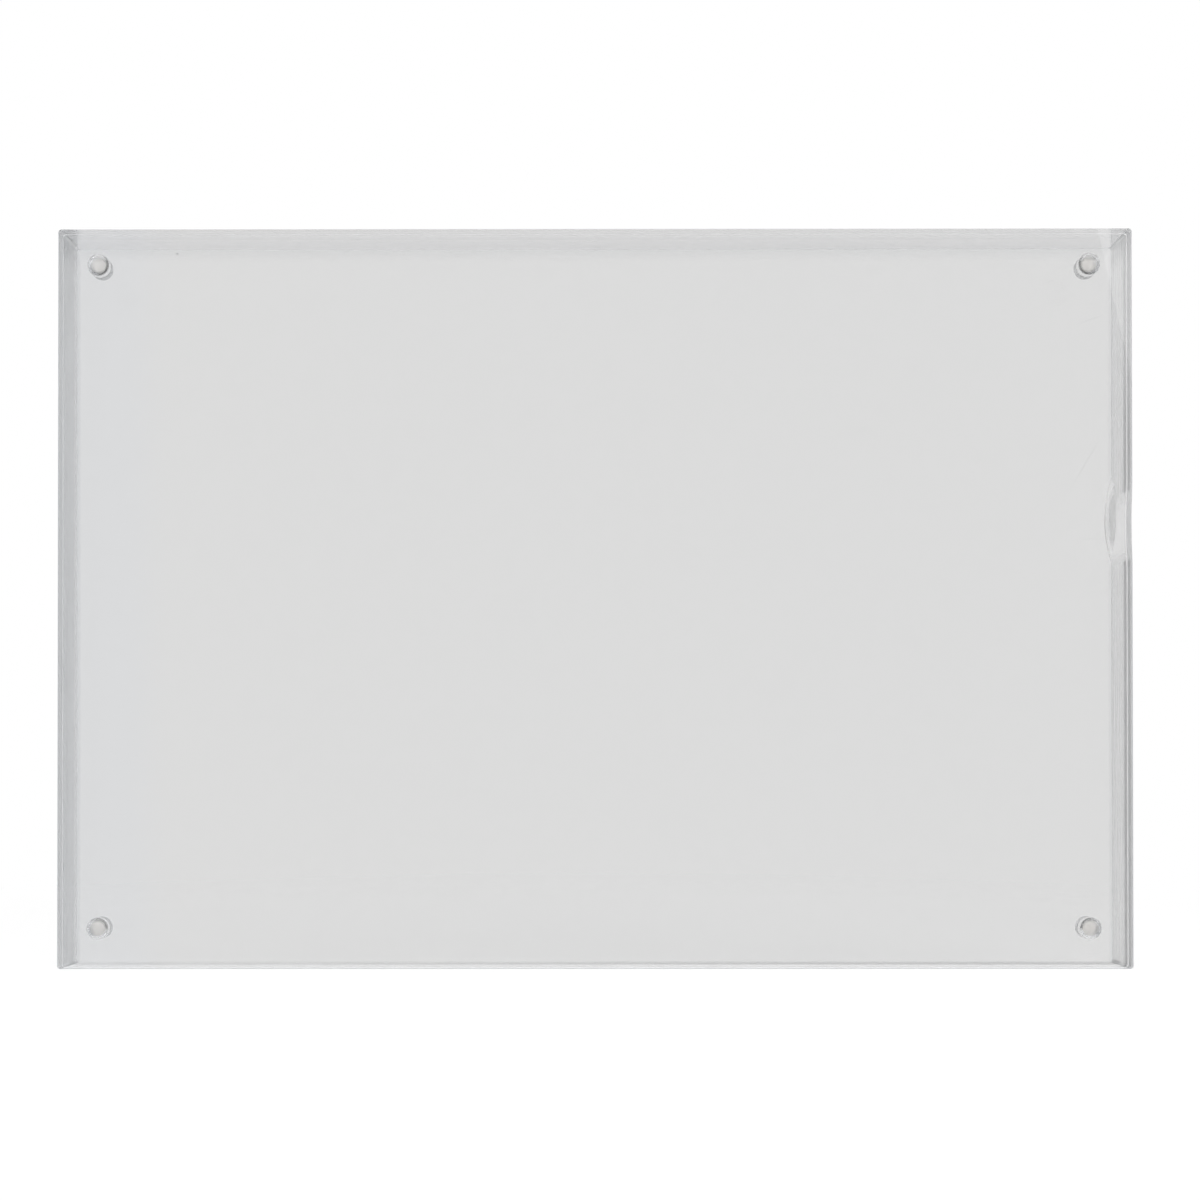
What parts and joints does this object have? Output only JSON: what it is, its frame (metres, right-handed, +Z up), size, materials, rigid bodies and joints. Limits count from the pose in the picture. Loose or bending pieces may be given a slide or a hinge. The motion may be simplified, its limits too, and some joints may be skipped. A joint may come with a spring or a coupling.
{
  "type": "magnetic poster frame",
  "caption": "Clear acrylic block frame that stands on its edge, with a thin front panel held on a thick back panel by corner magnets and a thumb relief in one side.",
  "frame": {"origin": "on the surface the frame stands on, under the middle of its width and depth", "axes": "+Z up, +X to the right as the frame is faced, the front face looks along -Y"},
  "size_m": [0.3302, 0.0256, 0.2275],
  "materials": {
    "clear_acrylic": "polished faces, sanded satin sides",
    "nickel_plate": "satin nickel plating"
  },
  "bodies": {
    "back": {"back_panel": "clear_acrylic", "back_magnet_upper_left": "nickel_plate", "back_magnet_upper_right": "nickel_plate", "back_magnet_lower_left": "nickel_plate", "back_magnet_lower_right": "nickel_plate"},
    "front": {"front_panel": "clear_acrylic", "front_magnet_upper_left": "nickel_plate", "front_magnet_upper_right": "nickel_plate", "front_magnet_lower_left": "nickel_plate", "front_magnet_lower_right": "nickel_plate"}
  },
  "joints": [
    {"name": "front_panel_pull", "type": "slide", "parent": "back", "child": "front", "axis": [0, -1, 0], "range_m": [0, 0.06]}
  ]
}
